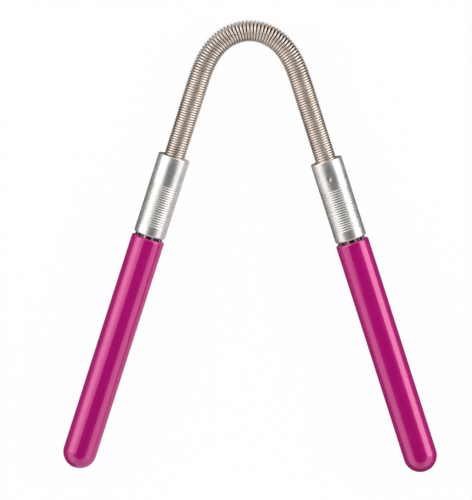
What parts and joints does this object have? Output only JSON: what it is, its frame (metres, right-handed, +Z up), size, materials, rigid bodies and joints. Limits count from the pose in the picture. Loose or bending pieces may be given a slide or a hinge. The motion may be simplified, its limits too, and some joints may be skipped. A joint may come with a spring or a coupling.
{
  "type": "facial hair removal spring",
  "caption": "Close-wound wire coil bent into a U between ringed metal ferrules and round magenta handles, for rolling over skin to pull out fine hair.",
  "frame": {"origin": "centre of the tool's footprint, on the surface it lies on", "axes": "+Y from the handles towards the coil's crown, +Z up from the surface, +X to the right handle"},
  "size_m": [0.0938, 0.1136, 0.0084],
  "materials": {
    "coil_wire": "bright drawn wire",
    "ferrule_metal": "turned, satin",
    "handle_finish": "magenta gloss over aluminium"
  },
  "bodies": {
    "root": {"spring": "coil_wire", "left_ferrule": "ferrule_metal", "right_ferrule": "ferrule_metal", "left_handle": "handle_finish", "right_handle": "handle_finish"}
  },
  "joints": []
}
